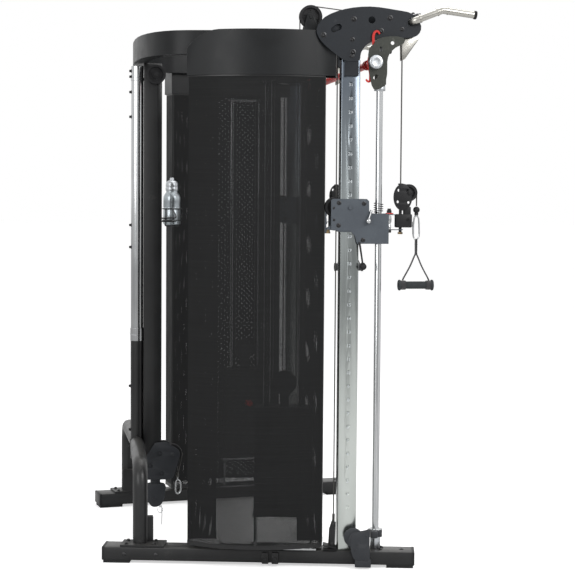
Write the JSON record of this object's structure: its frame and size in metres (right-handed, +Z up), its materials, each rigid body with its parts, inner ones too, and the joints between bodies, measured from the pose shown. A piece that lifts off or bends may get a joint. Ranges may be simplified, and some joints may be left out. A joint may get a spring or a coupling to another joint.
{
  "type": "cable crossover machine",
  "caption": "Home gym frame with mesh-covered weight towers, height-adjustable swivelling cable pulleys with handles, a Smith bar and a pull-up bar.",
  "frame": {"origin": "on the floor, in the middle of the machine's box", "axes": "+Z up, -Y towards the open front of the bay, +X to the right-hand tower seen from the front"},
  "size_m": [1.604, 1.3704, 2.0885],
  "materials": {
    "frame_paint": "textured black powder coat",
    "cover_paint": "satin black",
    "mesh": "black woven mesh sheet, open about a quarter",
    "chrome": "polished",
    "plates": "black hammered paint",
    "carriage_paint": "slate grey powder coat",
    "top_plate_paint": "blue-black powder coat",
    "smith_paint": "olive grey, zinc disc",
    "red_paint": "gloss red",
    "nylon": "moulded nylon",
    "grip": "ribbed rubber",
    "cable": "nylon coated steel cable",
    "strap": "woven webbing with a steel snap hook",
    "bottle": "brushed"
  },
  "bodies": {
    "root": {"rear_column": "frame_paint", "rear_pole": "chrome", "rear_fascia": "cover_paint", "rear_low_plates": "top_plate_paint", "pull_up_bar": "chrome", "bottle_holder": "frame_paint", "base_rail_left": "frame_paint", "rear_leg_left": "frame_paint", "tower_cap_left": "cover_paint", "mesh_shroud_left": "mesh", "stack_guides_left": "chrome", "resting_plates_left": "plates", "front_column_left": "chrome", "smith_guide_rod_left": "chrome", "top_plates_left": "top_plate_paint", "low_pulleys_left": "nylon", "carriage_cable_left": "cable", "stack_cable_left": "cable", "base_rail_right": "frame_paint", "rear_leg_right": "frame_paint", "tower_cap_right": "cover_paint", "mesh_shroud_right": "mesh", "stack_guides_right": "chrome", "resting_plates_right": "plates", "front_column_right": "chrome", "smith_guide_rod_right": "chrome", "top_plates_right": "top_plate_paint", "low_pulleys_right": "nylon", "carriage_cable_right": "cable", "stack_cable_right": "cable"},
    "stack_left": {"lifted_plates_left": "plates"},
    "selector_left": {"selector_pin_left": "red_paint"},
    "stack_wheel_left": {"stack_pulley_left": "nylon"},
    "top_wheel_left": {"top_pulley_left": "nylon"},
    "carriage_body_left": {"carriage_left": "carriage_paint"},
    "pop_pin_left": {"carriage_pop_pin_left": "chrome"},
    "swivel_left": {"swivel_bracket_left": "cover_paint", "handle_cable_left": "cable"},
    "swivel_wheel_left": {"swivel_pulley_left": "nylon"},
    "handle_left": {"handle_strap_left": "strap"},
    "grip_left": {"handle_grip_left": "grip"},
    "stack_right": {"lifted_plates_right": "plates"},
    "selector_right": {"selector_pin_right": "red_paint"},
    "stack_wheel_right": {"stack_pulley_right": "nylon"},
    "top_wheel_right": {"top_pulley_right": "nylon"},
    "carriage_body_right": {"carriage_right": "carriage_paint"},
    "pop_pin_right": {"carriage_pop_pin_right": "chrome"},
    "swivel_right": {"swivel_bracket_right": "cover_paint", "handle_cable_right": "cable"},
    "swivel_wheel_right": {"swivel_pulley_right": "nylon"},
    "handle_right": {"handle_strap_right": "strap"},
    "grip_right": {"handle_grip_right": "grip"},
    "smith_carriages": {"smith_carriage_left": "smith_paint", "smith_carriage_right": "smith_paint"},
    "smith_bar_body": {"smith_bar": "red_paint", "smith_end_left": "red_paint", "smith_end_right": "red_paint"},
    "rear_low_wheel": {"rear_low_pulley": "nylon"},
    "rear_high_wheel": {"rear_high_pulley": "nylon"},
    "bottle_body": {"bottle": "bottle"}
  },
  "joints": [
    {"name": "stack_lift_left", "type": "slide", "parent": "root", "child": "stack_left", "axis": [0, 0, 1], "range_m": [0, 0.45], "deforming": ["stack_cable_left"]},
    {"name": "selector_pull_left", "type": "slide", "parent": "stack_left", "child": "selector_left", "axis": [0.9816, -0.1908, 0], "range_m": [0, 0.06]},
    {"name": "stack_wheel_spin_left", "type": "hinge", "parent": "stack_left", "child": "stack_wheel_left", "pos_m": [-0.65823, 0.00664, 0.6856], "axis": [-0.9816, 0.1908, 0], "continuous": true},
    {"name": "top_wheel_spin_left", "type": "hinge", "parent": "root", "child": "top_wheel_left", "pos_m": [-0.68457, -0.0784, 2.046], "axis": [1, 0, 0], "continuous": true},
    {"name": "carriage_height_left", "type": "slide", "parent": "root", "child": "carriage_body_left", "axis": [0, 0, 1], "range_m": [-0.75, 0.39], "deforming": ["carriage_cable_left"]},
    {"name": "pop_pin_pull_left", "type": "slide", "parent": "carriage_body_left", "child": "pop_pin_left", "axis": [-1, 0, 0], "range_m": [0, 0.012], "stiffness_N_per_m": 600},
    {"name": "swivel_turn_left", "type": "hinge", "parent": "carriage_body_left", "child": "swivel_left", "pos_m": [-0.712, -0.4184, 1.29], "axis": [0, 0, 1], "range_deg": [-80, 80]},
    {"name": "swivel_wheel_spin_left", "type": "hinge", "parent": "swivel_left", "child": "swivel_wheel_left", "pos_m": [-0.712, -0.449, 1.4], "axis": [1, 0, 0], "continuous": true},
    {"name": "handle_pull_left", "type": "slide", "parent": "swivel_left", "child": "handle_left", "axis": [0, 0, -1], "range_m": [0, 0.9], "deforming": ["handle_cable_left"]},
    {"name": "grip_spin_left", "type": "hinge", "parent": "handle_left", "child": "grip_left", "pos_m": [-0.712, -0.4836, 1.055], "axis": [0, 1, 0], "continuous": true},
    {"name": "stack_lift_right", "type": "slide", "parent": "root", "child": "stack_right", "axis": [0, 0, 1], "range_m": [0, 0.45], "deforming": ["stack_cable_right"]},
    {"name": "selector_pull_right", "type": "slide", "parent": "stack_right", "child": "selector_right", "axis": [-0.9816, -0.1908, 0], "range_m": [0, 0.06]},
    {"name": "stack_wheel_spin_right", "type": "hinge", "parent": "stack_right", "child": "stack_wheel_right", "pos_m": [0.65823, 0.00664, 0.6856], "axis": [0.9816, 0.1908, 0], "continuous": true},
    {"name": "top_wheel_spin_right", "type": "hinge", "parent": "root", "child": "top_wheel_right", "pos_m": [0.68457, -0.0784, 2.046], "axis": [1, 0, 0], "continuous": true},
    {"name": "carriage_height_right", "type": "slide", "parent": "root", "child": "carriage_body_right", "axis": [0, 0, 1], "range_m": [-0.75, 0.39], "deforming": ["carriage_cable_right"]},
    {"name": "pop_pin_pull_right", "type": "slide", "parent": "carriage_body_right", "child": "pop_pin_right", "axis": [1, 0, 0], "range_m": [0, 0.012], "stiffness_N_per_m": 600},
    {"name": "swivel_turn_right", "type": "hinge", "parent": "carriage_body_right", "child": "swivel_right", "pos_m": [0.712, -0.4184, 1.29], "axis": [0, 0, 1], "range_deg": [-80, 80]},
    {"name": "swivel_wheel_spin_right", "type": "hinge", "parent": "swivel_right", "child": "swivel_wheel_right", "pos_m": [0.712, -0.449, 1.4], "axis": [1, 0, 0], "continuous": true},
    {"name": "handle_pull_right", "type": "slide", "parent": "swivel_right", "child": "handle_right", "axis": [0, 0, -1], "range_m": [0, 0.9], "deforming": ["handle_cable_right"]},
    {"name": "grip_spin_right", "type": "hinge", "parent": "handle_right", "child": "grip_right", "pos_m": [0.712, -0.4836, 1.055], "axis": [0, 1, 0], "continuous": true},
    {"name": "smith_slide", "type": "slide", "parent": "root", "child": "smith_carriages", "axis": [0, 0, -1], "range_m": [0, 0.36]},
    {"name": "smith_bar_turn", "type": "hinge", "parent": "smith_carriages", "child": "smith_bar_body", "pos_m": [0, -0.3064, 1.877], "axis": [1, 0, 0], "range_deg": [-20, 30]},
    {"name": "rear_low_wheel_spin", "type": "hinge", "parent": "root", "child": "rear_low_wheel", "pos_m": [0, 0.3813, 0.318], "axis": [1, 0, 0], "continuous": true},
    {"name": "rear_high_wheel_spin", "type": "hinge", "parent": "root", "child": "rear_high_wheel", "pos_m": [-0.037, 0.4538, 1.871], "axis": [1, 0, 0], "continuous": true},
    {"name": "bottle_lift", "type": "slide", "parent": "root", "child": "bottle_body", "axis": [0, 0, 1], "range_m": [0, 0.12]}
  ],
  "couplings": [
    {"joint": "handle_pull_left", "follows": "stack_lift_left", "ratio": 2},
    {"joint": "stack_wheel_spin_left", "follows": "stack_lift_left", "rad_per_m": 22.422},
    {"joint": "top_wheel_spin_left", "follows": "stack_lift_left", "rad_per_m": -48.662},
    {"joint": "swivel_wheel_spin_left", "follows": "stack_lift_left", "rad_per_m": 65.359},
    {"joint": "handle_pull_right", "follows": "stack_lift_right", "ratio": 2},
    {"joint": "stack_wheel_spin_right", "follows": "stack_lift_right", "rad_per_m": -22.422},
    {"joint": "top_wheel_spin_right", "follows": "stack_lift_right", "rad_per_m": -48.662},
    {"joint": "swivel_wheel_spin_right", "follows": "stack_lift_right", "rad_per_m": 65.359}
  ]
}
